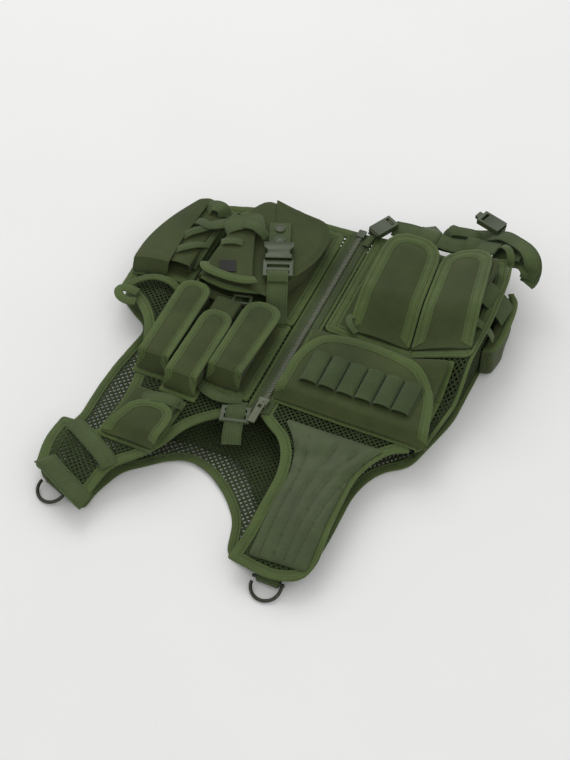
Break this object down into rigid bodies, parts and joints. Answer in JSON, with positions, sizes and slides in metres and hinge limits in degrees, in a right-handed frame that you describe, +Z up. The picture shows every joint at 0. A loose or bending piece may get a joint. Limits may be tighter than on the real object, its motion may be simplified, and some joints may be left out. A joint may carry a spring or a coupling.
{
  "type": "load carrying mesh vest",
  "caption": "Mesh load-carrying vest lying on its back, with pouches, a cross-draw holster, a shell flap, a padded shoulder and a front zip.",
  "frame": {"origin": "on the surface it lies on, under the middle of the whole vest's box", "axes": "+Z up out of the vest's front, +X to the wearer's right, +Y from the shoulders to the hem"},
  "size_m": [0.4632, 0.5924, 0.107],
  "materials": {
    "net": "open warp-knit polyester mesh, olive green",
    "pack_cloth": "plain-woven polyester pack cloth, olive green",
    "pad_cloth": "smooth coated cloth over foam, quilted",
    "webbing": "woven polypropylene webbing and binding tape",
    "moulding": "moulded acetal, fine texture",
    "zip": "moulded zip teeth and olive tape",
    "ring_metal": "dark coated steel wire",
    "label": "plain woven label, no mark"
  },
  "bodies": {
    "vest": {"back_panel": "net", "front_panel_left": "net", "front_panel_right": "net", "side_panel_right": "net", "side_panel_left": "net", "shoulder_seam_right": "webbing", "shoulder_seam_left": "webbing", "recoil_pad": "pad_cloth", "zip_stringer_left": "zip", "zip_stringer_right": "zip", "zip_end_box": "moulding", "pistol_pouch_base": "pack_cloth", "pistol_pouch_1": "pack_cloth", "pistol_pouch_2": "pack_cloth", "pistol_pouch_3": "pack_cloth", "rifle_pouch_base": "pack_cloth", "rifle_pouch_1": "pack_cloth", "rifle_pouch_2": "pack_cloth", "shell_pocket_base": "pack_cloth", "shell_pocket": "pack_cloth", "holster_base": "pack_cloth", "holster_body": "pack_cloth", "holster_pocket": "pack_cloth", "holster_label": "label", "holster_buckle_female": "moulding", "holster_strap_upper": "webbing", "holster_strap_lower": "webbing", "snap_cap_upper": "moulding", "snap_cap_lower": "moulding", "holster_keeper": "webbing", "mouth_webbing": "webbing", "utility_pouch_base": "pack_cloth", "utility_pouch": "pack_cloth", "utility_loop": "webbing", "radio_pouch_base": "pack_cloth", "radio_pouch": "pack_cloth", "chest_strap": "webbing", "belt": "webbing", "belt_keeper_1": "webbing", "belt_keeper_2": "webbing", "belt_bundle": "webbing", "belt_tail": "webbing", "belt_buckle_male": "moulding", "belt_buckle_female": "moulding", "side_pocket": "pack_cloth"},
    "pistol_flap_body_1": {"pistol_flap_1": "pack_cloth"},
    "pistol_flap_body_2": {"pistol_flap_2": "pack_cloth"},
    "pistol_flap_body_3": {"pistol_flap_3": "pack_cloth"},
    "rifle_flap_body_1": {"rifle_flap_1": "pack_cloth"},
    "rifle_flap_body_2": {"rifle_flap_2": "pack_cloth"},
    "shell_flap_body": {"shell_flap": "pack_cloth", "shell_loops": "webbing"},
    "utility_flap_body": {"utility_flap": "pack_cloth"},
    "radio_flap_body": {"radio_flap": "pack_cloth"},
    "zip_slider_body": {"zip_slider": "zip"},
    "zip_pull_body": {"zip_pull": "zip"},
    "d_ring_right_body": {"d_ring_right": "ring_metal"},
    "d_ring_left_body": {"d_ring_left": "ring_metal"},
    "chest_slide_body": {"chest_slide": "moulding"},
    "buckle_male_body": {"holster_buckle_male": "moulding"}
  },
  "joints": [
    {"name": "pistol_flap_1_open", "type": "hinge", "parent": "vest", "child": "pistol_flap_body_1", "pos_m": [-0.12806, -0.08109, 0.0419], "axis": [1, 0, 0], "range_deg": [0, 90]},
    {"name": "pistol_flap_2_open", "type": "hinge", "parent": "vest", "child": "pistol_flap_body_2", "pos_m": [-0.08506, -0.09609, 0.0419], "axis": [1, 0, 0], "range_deg": [0, 75]},
    {"name": "pistol_flap_3_open", "type": "hinge", "parent": "vest", "child": "pistol_flap_body_3", "pos_m": [-0.04306, -0.06809, 0.0419], "axis": [1, 0, 0], "range_deg": [0, 90]},
    {"name": "rifle_flap_1_open", "type": "hinge", "parent": "vest", "child": "rifle_flap_body_1", "pos_m": [0.09494, 0.07191, 0.0419], "axis": [1, 0, 0], "range_deg": [0, 65]},
    {"name": "rifle_flap_2_open", "type": "hinge", "parent": "vest", "child": "rifle_flap_body_2", "pos_m": [0.13694, 0.07191, 0.04265], "axis": [0.8944, 0, 0.4472], "range_deg": [0, 55]},
    {"name": "shell_flap_open", "type": "hinge", "parent": "vest", "child": "shell_flap_body", "pos_m": [0.11094, -0.06009, 0.0419], "axis": [1, 0, 0], "range_deg": [0, 100]},
    {"name": "utility_flap_open", "type": "hinge", "parent": "vest", "child": "utility_flap_body", "pos_m": [-0.17806, 0.06391, 0.0419], "axis": [0.9724, 0, 0.2334], "range_deg": [0, 95]},
    {"name": "radio_flap_open", "type": "hinge", "parent": "vest", "child": "radio_flap_body", "pos_m": [-0.10606, -0.18409, 0.0419], "axis": [1, 0, 0], "range_deg": [0, 100]},
    {"name": "zip_slide", "type": "slide", "parent": "vest", "child": "zip_slider_body", "axis": [0, 1, 0], "range_m": [0, 0.28]},
    {"name": "zip_pull_swing", "type": "hinge", "parent": "zip_slider_body", "child": "zip_pull_body", "pos_m": [0.01094, -0.07559, 0.04553], "axis": [-1, 0, 0], "range_deg": [0, 165]},
    {"name": "d_ring_right_swing", "type": "hinge", "parent": "vest", "child": "d_ring_right_body", "pos_m": [0.10794, -0.27159, 0.009], "axis": [-1, 0, 0], "range_deg": [0, 75]},
    {"name": "d_ring_left_swing", "type": "hinge", "parent": "vest", "child": "d_ring_left_body", "pos_m": [-0.16486, -0.25049, 0.009], "axis": [-0.9336, 0.3584, 0], "range_deg": [0, 75]},
    {"name": "chest_slide_adjust", "type": "slide", "parent": "vest", "child": "chest_slide_body", "axis": [0.2588, -0.9659, 0], "range_m": [0, 0.02]},
    {"name": "holster_buckle_release", "type": "slide", "parent": "vest", "child": "buckle_male_body", "axis": [0.3746, -0.9272, 0], "range_m": [0, 0.03]}
  ]
}
